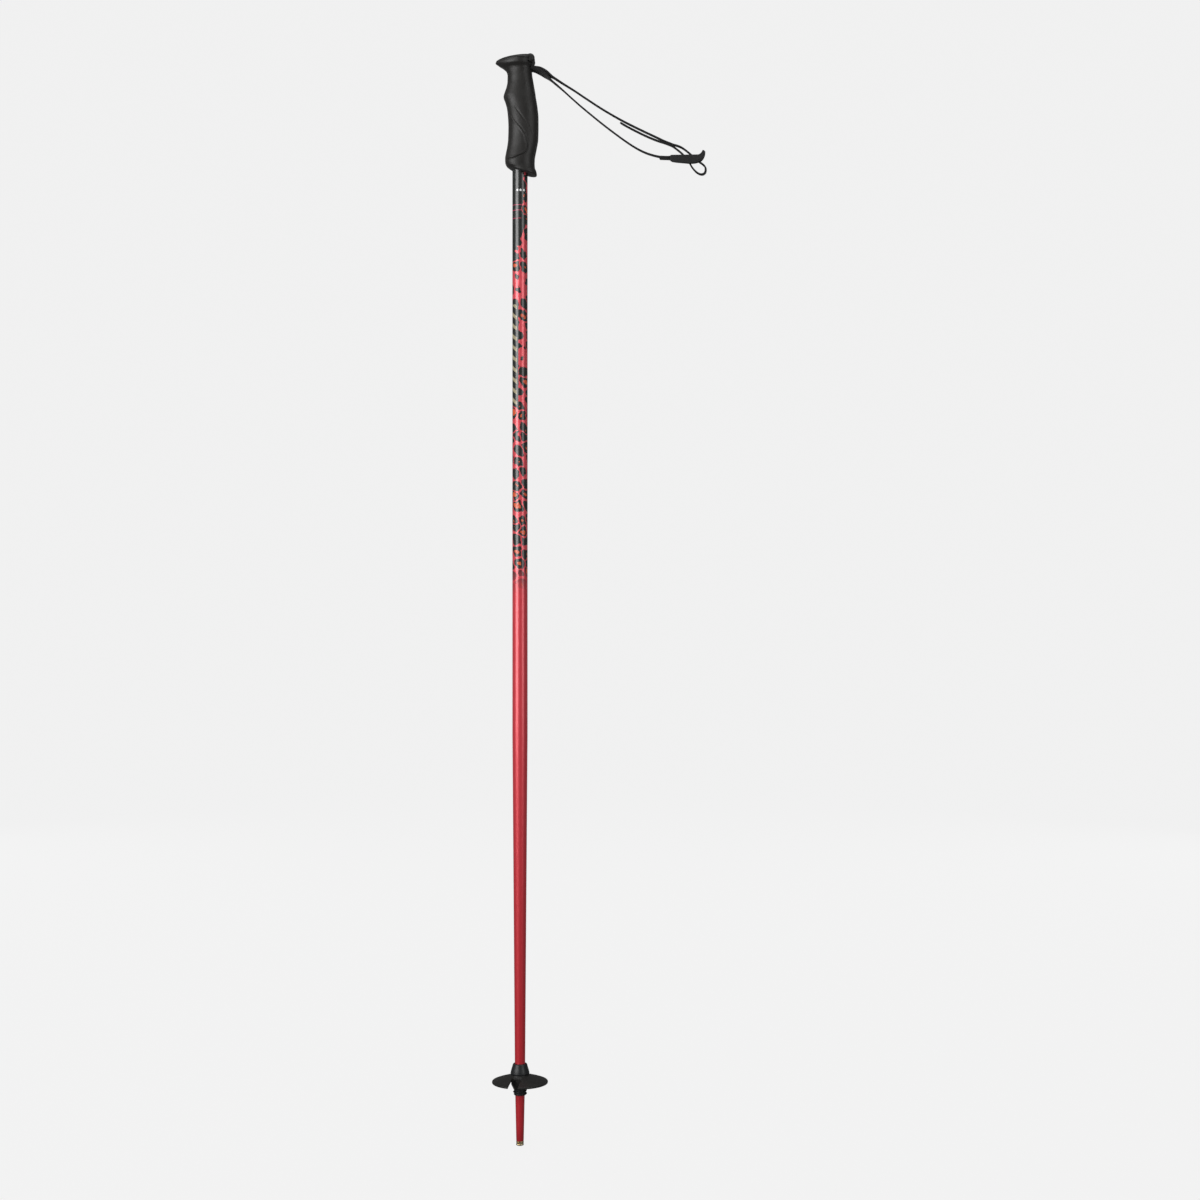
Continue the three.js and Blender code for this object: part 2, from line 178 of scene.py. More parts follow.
def turned_points(profile, columns):
    """Rings of points from [radius, height] pairs."""
    turns = 2 * np.pi * np.arange(columns) / columns
    radius, height = profile[:, 0, None], profile[:, 1, None]
    flat = np.broadcast_to(height, (len(profile), columns))
    return np.stack([radius * np.cos(turns), radius * np.sin(turns), flat], axis=-1)


def turned(name, profile, columns=96):
    """A turned solid whose profile closes on itself away from the axis."""
    return solid(name, turned_points(np.asarray(profile, float), columns),
                 grid_faces(len(profile), columns, closed=True))


def plug(name, profile, columns=96):
    """A turned solid whose profile starts and ends on the axis."""
    points = np.maximum(np.asarray(profile, float), (0.01, -1e9))
    return solid(name, turned_points(points, columns), capped_faces(len(points), columns))


def block(name, outline, half):
    """A side outline of [x, z] points, thick to both sides of the pole's plane."""
    outline = np.asarray(outline, float)
    sides = [np.column_stack([outline[:, 0], np.full(len(outline), y), outline[:, 1]]) for y in (-half, half)]
    return solid(name, np.stack(sides), capped_faces(2, len(outline)))


def cross_bar(name, x, z, radius, half, edge=0.0, columns=48):
    """A round bar across the pole's plane, with its end edges rounded by edge."""
    turns = 2 * np.pi * np.arange(columns) / columns
    bends = np.linspace(0, np.pi / 2, 7) if edge else (0,)
    ends = [(radius - edge * (1 - math.sin(a)), half - edge * (1 - math.cos(a))) for a in bends]
    rows = [(r, -y) for r, y in ends] + [(r, y) for r, y in reversed(ends)]
    rings = [np.column_stack([x + r * np.cos(turns), np.full(columns, y), z + r * np.sin(turns)])
             for r, y in rows]
    return solid(name, np.stack(rings), capped_faces(len(rows), columns))


def rounded(corners, radius, steps=4, closed=True):
    """An outline with each corner turned into a small curve. An open one keeps its two ends."""
    corners = np.asarray(corners, float)
    made = []
    for i, corner in enumerate(corners):
        if not closed and i in (0, len(corners) - 1):
            made.append(corner)
            continue
        back = corners[i - 1] - corner
        on = corners[(i + 1) % len(corners)] - corner
        reach = min(radius, 0.45 * np.linalg.norm(back), 0.45 * np.linalg.norm(on))
        start = corner + back / np.linalg.norm(back) * reach
        end = corner + on / np.linalg.norm(on) * reach
        for t in np.linspace(0, 1, steps + 1):
            made.append((1 - t) ** 2 * start + 2 * t * (1 - t) * corner + t * t * end)
    return np.array(made)


def settle(obj):
    """Applies the object's modifiers."""
    bpy.context.view_layer.update()
    evaluated = obj.evaluated_get(bpy.context.evaluated_depsgraph_get())
    mesh = bpy.data.meshes.new_from_object(evaluated)
    obj.modifiers.clear()
    obj.data = mesh
    return obj


def combine(obj, operation, *others):
    """Joins other solids to obj (UNION) or cuts them away (DIFFERENCE)."""
    for other in others:
        modifier = obj.modifiers.new(operation, "BOOLEAN")
        modifier.object = other
        modifier.operation = operation
        modifier.solver = "MANIFOLD"
    settle(obj)
    for other in others:
        bpy.data.objects.remove(other)
    return obj


def soften(obj, voxel, rounds):
    """Rounds every edge a little, as a moulding's edges are."""
    remesh = obj.modifiers.new("remesh", "REMESH")
    remesh.mode = "VOXEL"
    remesh.voxel_size = voxel * MM
    smooth = obj.modifiers.new("smooth", "SMOOTH")
    smooth.factor = 0.5
    smooth.iterations = rounds
    return settle(obj)


def shade(obj, angle):
    """Smooth shading, with edges sharper than angle left crisp."""
    obj.data.shade_smooth()
    obj.data.set_sharp_from_angle(angle=math.radians(angle))


def dress(obj, look, body, slot, *nodes, angle):
    """Gives a finished piece its material, its body and the CAD nodes that it stands for."""
    obj.data.materials.clear()
    obj.data.materials.append(look)
    shade(obj, angle)
    if body:
        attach(obj, body)
    if nodes:
        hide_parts(*nodes)
    return obj


def follow(knots, values, at):
    """A smooth curve through the values at the knots that doesn't overshoot them."""
    knots, values = np.asarray(knots, float), np.asarray(values, float)
    step = np.diff(knots)
    rise = np.diff(values) / step
    slope = np.zeros(len(knots))
    same = rise[:-1] * rise[1:] > 0
    slope[1:-1][same] = 2 * rise[:-1][same] * rise[1:][same] / (rise[:-1] + rise[1:])[same]
    slope[0], slope[-1] = rise[0], rise[-1]
    i = np.clip(np.searchsorted(knots, at) - 1, 0, len(step) - 1)
    t = np.clip((at - knots[i]) / step[i], 0, 1)
    rising = t * t * (3 - 2 * t)
    return (values[i] * (1 - rising) + values[i + 1] * rising
            + step[i] * (slope[i] * t * (1 - t) ** 2 - slope[i + 1] * t * t * (1 - t)))


# --- materials ---

class Look:
    """A node material in the making. Colours are linear red, green and blue."""

    def __init__(self, name, **sockets):
        self.material = bpy.data.materials.new(name)
        self.material.use_nodes = True
        self.tree = self.material.node_tree
        self.shader = self.tree.nodes["Principled BSDF"]
        self.set(**sockets)

    def set(self, **sockets):
        for socket, value in sockets.items():
            self.put(self.shader.inputs[socket.replace("_", " ")], value)

    def put(self, socket, value):
        if isinstance(value, bpy.types.NodeSocket):
            self.tree.links.new(value, socket)
        elif isinstance(value, tuple) and len(value) == 3 and socket.type == "RGBA":
            socket.default_value = (*value, 1)
        else:
            socket.default_value = value

    def node(self, kind, *values, output=0, **settings):
        made = self.tree.nodes.new(kind)
        for key, value in settings.items():
            setattr(made, key, value)
        for socket, value in zip(made.inputs, values):
            if value is not None:
                self.put(socket, value)
        return made.outputs[output]

    def math(self, operation, *values):
        return self.node("ShaderNodeMath", *values, operation=operation)

    def vector(self, operation, *values, output=0):
        return self.node("ShaderNodeVectorMath", *values, output=output, operation=operation)

    def between(self, value, low, high, to_low=0.0, to_high=1.0):
        """value from low to high becomes to_low to to_high, smoothly."""
        return self.node("ShaderNodeMapRange", value, low, high, to_low, to_high,
                         interpolation_type="SMOOTHSTEP")

    def mix(self, share, first, second):
        made = self.tree.nodes.new("ShaderNodeMix")
        made.data_type = "RGBA"
        first_colour, second_colour, colour_out = 6, 7, 2
        self.put(made.inputs["Factor"], share)
        self.put(made.inputs[first_colour], first)
        self.put(made.inputs[second_colour], second)
        return made.outputs[colour_out]

    def place(self):
        """The point on the object, in metres."""
        return self.node("ShaderNodeTexCoord", output="Object")

    def split(self, vector):
        made = self.tree.nodes.new("ShaderNodeSeparateXYZ")
        self.put(made.inputs[0], vector)
        return made.outputs

    def noise(self, at, scale, detail=2.0, output=0):
        made = self.tree.nodes.new("ShaderNodeTexNoise")
        self.put(made.inputs["Vector"], at)
        made.inputs["Scale"].default_value = scale
        made.inputs["Detail"].default_value = detail
        return made.outputs[output]

    def cells(self, at, scale, feature="F1", randomness=1.0, output=0):
        made = self.tree.nodes.new("ShaderNodeTexVoronoi")
        made.feature = feature
        self.put(made.inputs["Vector"], at)
        made.inputs["Scale"].default_value = scale
        made.inputs["Randomness"].default_value = randomness
        return made.outputs[output]

    def bump(self, height, distance, strength):
        made = self.tree.nodes.new("ShaderNodeBump")
        made.inputs["Strength"].default_value = strength
        made.inputs["Distance"].default_value = distance
        self.put(made.inputs["Height"], height)
        return made.outputs[0]


def floor_look():
    look = Look("floor_paper", Roughness=1.0)
    grain = look.noise(look.place(), 300, 3)
    look.set(Base_Color=look.mix(grain, (0.018, 0.018, 0.018), (0.024, 0.024, 0.024)))
    look.set(Emission_Color=(1.0, 1.0, 1.0), Emission_Strength=0.872)
    look.set(Specular_IOR_Level=0.0)
    return look.material


def moulded(name, colour, pale, roughness, grain=2600, depth=0.00003, sheen=0.0):
    """Black moulded plastic or rubber: fine grain and faint mottling, with a painted highlight that makes the
    grain's tops paler.
    """
    look = Look(name, Sheen_Weight=sheen, Specular_IOR_Level=0.4)
    at = look.place()
    fine = look.noise(at, grain, 3)
    broad = look.noise(at, 70, 4)
    # painted highlight: the grain's raised tops are mixed towards the pale colour; the broad noise adds random
    # mottling
    share = look.math("MULTIPLY", look.between(fine, 0.35, 0.75), 0.6)
    look.set(Base_Color=look.mix(look.math("ADD", share, look.math("MULTIPLY", broad, 0.4)), colour, pale))
    look.set(Roughness=look.between(broad, 0.3, 0.7, roughness - 0.04, roughness + 0.06))
    look.set(Normal=look.bump(fine, depth, 0.6))
    return look.material


def metal(name, dark, bright, roughness, lines):
    """Turned metal: fine lines round Z, tinted by a broad noise."""
    look = Look(name, Metallic=1.0)
    at = look.place()
    stretched = look.vector("MULTIPLY", at, (1.0, 1.0, 14.0))
    turning = look.noise(stretched, lines, 3)
    broad = look.noise(at, 260, 2)
    look.set(Base_Color=look.mix(look.between(broad, 0.35, 0.65), dark, bright))
    look.set(Roughness=look.between(turning, 0.3, 0.7, roughness - 0.06, roughness + 0.1))
    look.set(Normal=look.bump(turning, 0.00002, 0.5))
    return look.material


def webbing_look():
    """Woven polyester: chevron rows of yarn, from the distance along and across the cloth in millimetres. The
    yarn's raised tops carry a painted highlight.
    """
    look = Look("webbing", Roughness=0.85, Sheen_Weight=0.08, Sheen_Roughness=0.4)
    cloth = look.node("ShaderNodeAttribute", output="Vector", attribute_name="cloth")
    along, across, _ = look.split(cloth)
    row, pitch = 2.5, 1.3
    zigzag = look.math("PINGPONG", across, row / 2)
    chevron = look.math("ADD", along, look.math("MULTIPLY", zigzag, 0.9))
    phase = look.math("MULTIPLY", chevron, 2 * math.pi / pitch)
    weft = look.math("MULTIPLY_ADD", look.math("SINE", phase), 0.5, 0.5)
    valley = look.math("ABSOLUTE", look.math("SINE", look.math("MULTIPLY", across, 2 * math.pi / row)))
    yarn = look.math("MULTIPLY", weft, look.math("MULTIPLY_ADD", valley, 0.6, 0.4))
    fuzz = look.noise(look.place(), 5200, 3)
    height = look.math("MULTIPLY_ADD", fuzz, 0.25, yarn)
    # painted highlight: the raised yarn and fuzz are coloured paler
    yarn_top_highlight = look.between(height, 0.35, 1.05)
    look.set(Base_Color=look.mix(yarn_top_highlight, (0.003, 0.003, 0.0033), (0.014, 0.014, 0.0145)))
    look.set(Normal=look.bump(height, 0.00018, 0.9))
    return look.material


def thread_look():
    look = Look("thread", Roughness=0.7, Sheen_Weight=0.3)
    twist = look.noise(look.place(), 4200, 2)
    # painted highlight: the raised parts of the twist are coloured paler
    look.set(Base_Color=look.mix(twist, (0.006, 0.006, 0.0065), (0.02, 0.02, 0.02)))
    look.set(Normal=look.bump(twist, 0.00006, 0.8))
    return look.material


def lacquer_look():
    """Red metallic lacquer. The upper half carries spots like a big cat's, black panels and fine pink rings."""
    look = Look("shaft_lacquer")
    at = look.place()
    x, y, z = look.split(at)

    # Spots: cells on a lattice about the axis that turns as it climbs, each a ring or a solid blot.
    cell, climb, randomness = 0.0120, 27.0, 0.6
    shift = randomness / 2 + 0.5
    twisted = look.node("ShaderNodeVectorRotate", at, (0, 0, 0), (0, 0, 1), look.math("MULTIPLY", z, climb),
                        rotation_type="Z_AXIS")
    spread = look.vector("MULTIPLY", twisted, (1 / cell, 1 / cell, 1 / cell))
    lattice = look.vector("ADD", spread, (shift, shift, 0.2))
    drift = look.vector("SUBTRACT", look.noise(lattice, 1.7, 1.0, output=1), (0.5, 0.5, 0.5))
    warped = look.vector("ADD", lattice, look.vector("MULTIPLY", drift, (0.55, 0.55, 0.55)))
    distance = look.cells(warped, 1.0, randomness=randomness)
    edge = look.cells(warped, 1.0, "DISTANCE_TO_EDGE", randomness)
    chance, chance_too, _ = look.split(look.cells(warped, 1.0, randomness=randomness, output=1))
    ragged = look.math("MULTIPLY", look.math("SUBTRACT", look.noise(lattice, 4.5, 1.0), 0.5), 0.22)
    reach = look.math("ADD", distance, ragged)
    outer = look.math("MULTIPLY_ADD", chance, 0.13, 0.46)
    inner = look.math("MULTIPLY_ADD", chance_too, 0.28, 0.04)
    soft = 0.012  # half the width of a spot's edge, in cells
    in_blot = look.between(look.math("SUBTRACT", outer, reach), -soft, soft)
    apart = look.between(edge, 0.045, 0.07)
    blot = look.math("MULTIPLY", in_blot, apart)
    in_heart = look.between(look.math("SUBTRACT", inner, reach), -soft, soft)

    # Panels: black on the beak's side of the tube, ragged under the grip, straight along the strip.
    toward = look.math("ADD", look.math("MULTIPLY", x, -0.87), look.math("MULTIPLY", y, -0.5))
    facing = look.math("DIVIDE", toward, SHAFT_R * MM)
    ragged_edge = look.math("MULTIPLY_ADD", look.noise(lattice, 1.1, 0.0), 1.5, -0.95)
    crisp = 0.0002  # half the width of a panel's edge
    low = MM * PANEL_FOOT
    top_zone = look.between(look.math("MULTIPLY_ADD", ragged_edge, 0.012, z), low - crisp, low + crisp)
    narrowing = look.between(z, 0.934, 0.984, 1.15, 0.0)
    past_edge = look.math("SUBTRACT", facing, ragged_edge)
    on_top = look.between(look.math("SUBTRACT", past_edge, narrowing), -0.02, 0.02)
    top_panel = look.math("MULTIPLY", top_zone, on_top)
    low, high = (MM * h for h in PANEL_STRIP)
    strip_zone = look.math("MULTIPLY", look.between(z, low - crisp, low + crisp),
                           look.between(z, high - crisp, high + crisp, 1.0, 0.0))
    on_strip = look.between(facing, 0.625, 0.645)
    strip = look.math("MULTIPLY", strip_zone, on_strip)
    panel = look.math("MAXIMUM", top_panel, strip)

    # A row of slanted beige bars on the strip, and three pale dots on the panel.
    bar_pitch, bar_rise = 0.0112, 0.5
    slant = look.math("ADD", z, look.math("MULTIPLY", look.math("SUBTRACT", x, y), bar_rise))
    bar = look.math("PINGPONG", slant, bar_pitch / 2)
    bars = look.math("MULTIPLY", look.between(bar, 0.0019, 0.0021, 1.0, 0.0), look.between(facing, 0.78, 0.80))
    bars = look.math("MULTIPLY", bars, strip)
    rings = None
    for height in (990.6, 985.0, 976.5):
        off = look.math("ABSOLUTE", look.math("SUBTRACT", z, height * MM))
        ring = look.between(off, 0.00022, 0.00034, 1.0, 0.0)
        rings = ring if rings is None else look.math("MAXIMUM", rings, ring)
    rings = look.math("MULTIPLY", look.math("MULTIPLY", rings, top_panel), look.between(facing, 0.2, 0.3))
    dots_z = 1006
    dots = None
    for side in (-2.6, 0.9, 4.4):
        middle = (side * MM, -math.sqrt(SHAFT_R ** 2 - side ** 2) * MM, dots_z * MM)
        off = look.vector("DISTANCE", at, middle, output="Value")
        dot = look.between(off, 0.00115, 0.0013, 1.0, 0.0)
        dots = dot if dots is None else look.math("MAXIMUM", dots, dot)

    # Colours, from the ground up.
    flake = look.noise(at, 5200, 2)
    # the red is darker towards the bottom of the shaft
    down = look.between(z, 0.05, 0.56)
    red = look.mix(down, (0.62, 0.008, 0.020), (0.78, 0.050, 0.070))
    coral = look.mix(look.noise(at, 160, 2), (0.80, 0.060, 0.085), (0.90, 0.105, 0.130))
    low, high = (MM * h for h in PRINT_FADES)
    printed = look.between(look.math("MULTIPLY_ADD", look.noise(at, 120, 1), 0.012, z), low, high)
    ground = look.mix(printed, red, coral)
    ground = look.mix(look.math("MULTIPLY", flake, 0.10), ground, (0.9, 0.30, 0.32))
    ink = (0.012, 0.014, 0.012)
    spots = look.math("MULTIPLY", blot, printed)
    hearts = look.math("MULTIPLY", spots, in_heart)
    colour = look.mix(spots, ground, ink)
    colour = look.mix(hearts, colour, (0.80, 0.115, 0.035))
    colour = look.mix(panel, colour, ink)
    colour = look.mix(bars, colour, (0.42, 0.36, 0.22))
    colour = look.mix(rings, colour, (0.62, 0.06, 0.14))
    colour = look.mix(dots, colour, (0.85, 0.85, 0.85))
    look.set(Base_Color=colour)

    marked = look.math("MAXIMUM", panel, spots)
    look.set(Metallic=look.between(marked, 0.0, 1.0, 0.30, 0.0))
    look.set(Roughness=look.between(look.noise(at, 420, 3), 0.3, 0.7, 0.33, 0.41))
    look.set(Coat_Weight=0.8, Coat_Roughness=0.19)
    look.set(Normal=look.bump(flake, 0.000006, 0.5))
    return look.material


# --- strap ---

TAIL_ROUTE = (
    (106.3, 1078.3), (112, 1075), (120, 1070.7), (134.6, 1063.6), (146, 1059), (152, 1057.1),
    (158, 1054.8), (161.5, 1053.1), (166.4, 1049.5),
)
LOOP_ROUTE = (
    (170.9, 1045.8), (173.8, 1042.9), (176.8, 1039.4), (179.3, 1035.4), (181.9, 1031.1), (185.9, 1026.7),
    (189.4, 1024.5), (192.4, 1024.1), (194.9, 1025.4), (195.9, 1028.2), (195.4, 1031.6), (192.6, 1034.6),
    (189.3, 1036.9), (185.6, 1040), (181.9, 1043.2), (178.7, 1046),
)
UPPER_ROUTE = (
    (171.5, 1051.4), (166.5, 1053.7), (162, 1055), (158, 1056.6), (152, 1059), (146, 1061.9),
    (127, 1070.9), (106.3, 1081.4), (86.5, 1092.9), (67.3, 1105.4), (57.3, 1112.1), (44.3, 1120.2),
    (33, 1127.6), (27.5, 1131.2), (21.1, 1134.4), (14, 1136.2),
)
PIN_ROUTE = (
    (8, 1137.9), (3.6, 1139.5), (1, 1139.95), (-0.9, 1139.2), (-1.65, 1137.3), (-0.9, 1135.4), (1, 1134.65),
    (5, 1134.5), (9.5, 1134.4),
)
LOWER_ROUTE = (
    (14, 1134.4), (21.1, 1132.1), (27.5, 1128.1), (34.8, 1121.6), (44.3, 1113.6), (54.5, 1104.4),
    (64.6, 1095.6), (94.2, 1071.8), (121.1, 1052.9), (134, 1046.5), (146.7, 1042.9),
)
BAR_ROUTE = (
    (151, 1042.6), (156, 1042.4), (159.5, 1042.6), (161.5, 1043.1), (163.4, 1043.4), (165.2, 1042.7),
    (166, 1041), (165.3, 1039.2), (163.4, 1038.45), (161.3, 1038.9), (159, 1040.2), (156, 1040.6),
    (152, 1040.8), (147.5, 1041),
)


def smooth_route(points, step):
    """Even points on the centripetal Catmull-Rom curve through [x, z] points, and the distance to each."""
    knots = np.asarray(points, float)
    knots = np.vstack([2 * knots[0] - knots[1], knots, 2 * knots[-1] - knots[-2]])
    dense = []
    for i in range(1, len(knots) - 2):
        a, b, c, d = knots[i - 1:i + 3]
        tb = np.linalg.norm(b - a) ** 0.5
        tc = tb + np.linalg.norm(c - b) ** 0.5
        td = tc + np.linalg.norm(d - c) ** 0.5
        t = np.linspace(tb, tc, 40, endpoint=False)[:, None]
        ab = (tb - t) / tb * a + t / tb * b
        bc = (tc - t) / (tc - tb) * b + (t - tb) / (tc - tb) * c
        cd = (td - t) / (td - tc) * c + (t - tc) / (td - tc) * d
        abc = (tc - t) / tc * ab + t / tc * bc
        bcd = (td - t) / (td - tb) * bc + (t - tb) / (td - tb) * cd
        dense.append((tc - t) / (tc - tb) * abc + (t - tb) / (tc - tb) * bcd)
    dense = np.vstack([*dense, knots[-2]])
    reach = np.concatenate([[0], np.cumsum(np.linalg.norm(np.diff(dense, axis=0), axis=1))])
    even = np.linspace(0, reach[-1], int(reach[-1] / step) + 1)
    return np.column_stack([np.interp(even, reach, dense[:, 0]), np.interp(even, reach, dense[:, 1])]), even


def strap_turn(degrees):
    """Turns about the line from the strap's mouth to its buckle, in millimetres."""
    there = Matrix.Translation((MOUTH[0], 0, MOUTH[1]))
    return there @ Matrix.Rotation(math.radians(degrees), 4, STRAP_WAY) @ there.inverted()


def roll_at(x, z):
    """How far the strap lies over at a point of its route, in degrees."""
    distances, rolls = STRAP_ROLLS
    reach = math.hypot(x - MOUTH[0], z - MOUTH[1])
    if x < MOUTH[0] or reach <= distances[0]:
        return rolls[0]
    for i in range(1, len(distances)):
        if reach < distances[i]:
            t = (reach - distances[i - 1]) / (distances[i] - distances[i - 1])
            return rolls[i - 1] + (rolls[i] - rolls[i - 1]) * t * t * (3 - 2 * t)
    return rolls[-1]


class Strap:
    """The webbing's whole route, cut into stretches that meet exactly."""

    def __init__(self):
        stretches = (TAIL_ROUTE, LOOP_ROUTE, UPPER_ROUTE, PIN_ROUTE, LOWER_ROUTE, BAR_ROUTE)
        self.route, self.reach = smooth_route([p for s in stretches for p in s], STRAP_STEP)
        way = np.gradient(self.route, axis=0)
        self.way = way / np.linalg.norm(way, axis=1)[:, None]
        self.turns = [strap_turn(roll_at(x, z)) for x, z in self.route]
        corners = np.array([(-1, -1), (1, -1), (1, 1), (-1, 1)]) * (STRAP_WIDTH / 2, STRAP_THICK / 2)
        self.section = rounded(corners, 0.5, 4)

    def nearest(self, x, z, after=0):
        """The section closest to a point of the route, not before another section."""
        off = np.linalg.norm(self.route - (x, z), axis=1)
        off[:after] = 1e9
        return int(np.argmin(off))

    def sections(self, first, last):
        """Rings of points from one section to another, and where each point is on the flat cloth."""
        rings, cloth = [], []
        edge = np.abs(self.section[:, 0]) > STRAP_WIDTH / 2 - 0.6
        for i in range(first, last + 1):
            (x, z), (way_x, way_z) = self.route[i], self.way[i]
            scallop = SELVEDGE * math.sin(2 * math.pi * self.reach[i] / SELVEDGE_PITCH)
            across = self.section[:, 0] + np.where(edge, np.sign(self.section[:, 0]) * scallop, 0)
            up = self.section[:, 1]
            turn = np.array(self.turns[i])
            flat = np.column_stack([x - way_z * up, across, z + way_x * up])
            rings.append(flat @ turn[:3, :3].T + turn[:3, 3])
            cloth.append(np.column_stack([np.full(len(up), self.reach[i]), across, up]))
        return np.stack(rings), np.stack(cloth)

    def piece(self, name, *stretches):
        """One mesh of the stretches between pairs of sections, and their length in metres."""
        points, cloth, faces, length, first = [], [], [], 0.0, 0
        for start, end in stretches:
            rings, flat = self.sections(start, end)
            faces += capped_faces(len(rings), len(self.section), first)
            first += rings.shape[0] * rings.shape[1]
            points.append(rings.reshape(-1, 3))
            cloth.append(flat.reshape(-1, 3))
            length += (self.reach[end] - self.reach[start]) * MM
        obj = solid(name, np.vstack(points), faces)
        attribute = obj.data.attributes.new("cloth", "FLOAT_VECTOR", "POINT")
        attribute.data.foreach_set("vector", np.vstack(cloth).astype(np.float32).ravel())
        return obj, length


def stitches(strap, places):
    """Short threads across the webbing's faces, in rows at sections, on the sides given as up or down."""
    points, faces = [], []
    half_length, radius, count, columns = 0.85, 0.2, 6, 8
    bend = ((-1, 0.35), (-0.72, 0.85), (0, 1), (0.72, 0.85), (1, 0.35))  # along a thread, its thickness there
    turns = 2 * np.pi * np.arange(columns) / columns
    for section, sides in places:
        (x, z), (way_x, way_z) = strap.route[section], strap.way[section]
        turn = np.array(strap.turns[section])
        for side in sides:
            height = side * (STRAP_THICK / 2 + 0.02)
            for across in np.linspace(-5.6, 5.6, count):
                for end, share in bend:
                    rise = height + radius * share * np.sin(turns) - side * 0.12 * end * end
                    along = radius * share * np.cos(turns)
                    flat = np.column_stack([
                        x + way_x * along - way_z * rise,
                        np.full(columns, across + end * half_length),
                        z + way_z * along + way_x * rise,
                    ])
                    points.append(flat @ turn[:3, :3].T + turn[:3, 3])
                faces += capped_faces(len(bend), columns, (len(points) - len(bend)) * columns)
    return solid("strap_stitching", np.vstack(points), faces)


def webbing():
    """The cloth in three pieces, cut where the motions of pole, strap and buckle part, and its stitching."""
    strap = Strap()
    look = webbing_look()
    buckle_in = strap.nearest(*LOOP_ROUTE[-1])
    upper_near = strap.nearest(*UPPER_ROUTE[-4], buckle_in)
    pin = strap.nearest(*PIN_ROUTE[4])
    lower_near = strap.nearest(*LOWER_ROUTE[3], pin)
    bar_in = strap.nearest(*LOWER_ROUTE[-1], pin)

    root, root_length = strap.piece("webbing_root", (upper_near, lower_near))
    dress(root, look, None, "webbing", "strap_root", angle=50)
    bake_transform(root)

    runs, runs_length = strap.piece("webbing_runs", (buckle_in, upper_near), (lower_near, bar_in))
    dress(runs, look, None, "webbing", "strap_upper_run", "strap_lower_run", angle=50)
    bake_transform(runs)

    last = len(strap.route) - 1
    end, end_length = strap.piece("webbing_end", (0, buckle_in), (bar_in, last))
    dress(end, look, "buckle", "webbing", "strap_slack_loop", "strap_tail", "strap_bar_fold", angle=50)

    over_bar = strap.nearest(163.4, 1043.6, bar_in)
    seam = (149.6, 151.8, 154)
    rows = [(strap.nearest(x, 1042.8, bar_in), (1,)) for x in seam]
    rows += [(strap.nearest(x, 1041, over_bar), (1,)) for x in seam]
    rows += [(round(reach / STRAP_STEP), (-1, 1)) for reach in (2.2, 4.4)]
    thread = stitches(strap, rows)
    dress(thread, thread_look(), "buckle", "webbing", angle=60)


# --- buckle ---

def curve(start, middle, end):
    """Points on a quadratic curve, without its start."""
    steps = 6
    start, middle, end = (np.array(p, float) for p in (start, middle, end))
    shares = np.linspace(0, 1, steps + 1)[1:]
    return [(1 - t) ** 2 * start + 2 * t * (1 - t) * middle + t * t * end for t in shares]


def buckle():
    """Ladder buckle: a tapering moulding with an open bar end, two slots and an upturned thumb tab."""
    half, room = 10.25, 7.9
    outline = [np.array((159.2, 1038.6)), np.array((159.2, 1043.6))]
    for bend in (
        ((159.3, 1044.5), (160.4, 1044.5)),
        ((174, 1044.5), (188.6, 1044.5)),
        ((191.6, 1045.2), (193.2, 1048.9)),
        ((194.3, 1049.6), (195, 1047.9)),
        ((195.4, 1042), (191.2, 1038)),
        ((186.5, 1035.6), (182, 1035.5)),
        ((178, 1035.3), (174, 1035.9)),
        ((166, 1036.5), (160.4, 1037.5)),
        ((159.4, 1037.7), (159.2, 1038.6)),
    ):
        outline += curve(outline[-1], *bend)
    body = block("buckle_moulding", outline[:-1], half)
    windows = (
        ((157, 1030), (168, 1030), (168, 1050), (157, 1050)),
        ((168.6, 1046), (174, 1046), (181.6, 1034.6), (176.4, 1034.6)),
        ((176.4, 1046), (181.9, 1046), (192.2, 1037.4), (192.2, 1033), (185.4, 1033), (185.4, 1037.4)),
    )
    combine(body, "DIFFERENCE", *[block(f"window_{i}", w, room) for i, w in enumerate(windows)])
    ridges = [cross_bar(f"ridge_{i}", x, z, 0.42, 7.5, columns=16)
              for i, (x, z) in enumerate(((189.9, 1044.7), (191.4, 1046.0), (192.5, 1047.6)))]
    combine(body, "UNION", cross_bar("bar", 163.4, 1041, 1.5, half - 1, columns=32), *ridges)
    body.data.transform(Matrix.Scale(MM, 4) @ strap_turn(STRAP_LIE) @ Matrix.Scale(1 / MM, 4))
    soften(body, 0.26, 5)
    look = moulded("buckle_plastic", (0.007, 0.007, 0.0074), (0.027, 0.027, 0.027), 0.40, grain=1500,
                   depth=0.00008)
    return dress(body, look, "buckle", "buckle_plastic", "buckle", angle=60)


# --- shaft and tip ---

def shaft():
    """Drawn tube, tapering to a chamfered foot, open at the top under the cap."""
    ring_step, wall = 12, 1
    outside = []
    for (low_r, low_z), (high_r, high_z) in zip(SHAFT_PROFILE, SHAFT_PROFILE[1:]):
        steps = max(2, int((high_z - low_z) / ring_step))
        outside += [(low_r + (high_r - low_r) * k / steps, low_z + (high_z - low_z) * k / steps)
                    for k in range(steps)]
    outside.append(SHAFT_PROFILE[-1])
    edge = [(SHAFT_PROFILE[0][0] - 0.3, 4.8), (SHAFT_PROFILE[0][0], 5.15)]
    inside = [(r - wall, z) for r, z in reversed(SHAFT_PROFILE)]
    profile = edge + outside[1:] + inside
    tube = turned("shaft_tube", profile, 128)
    return dress(tube, lacquer_look(), "pole", "shaft_lacquer", "shaft", angle=40)


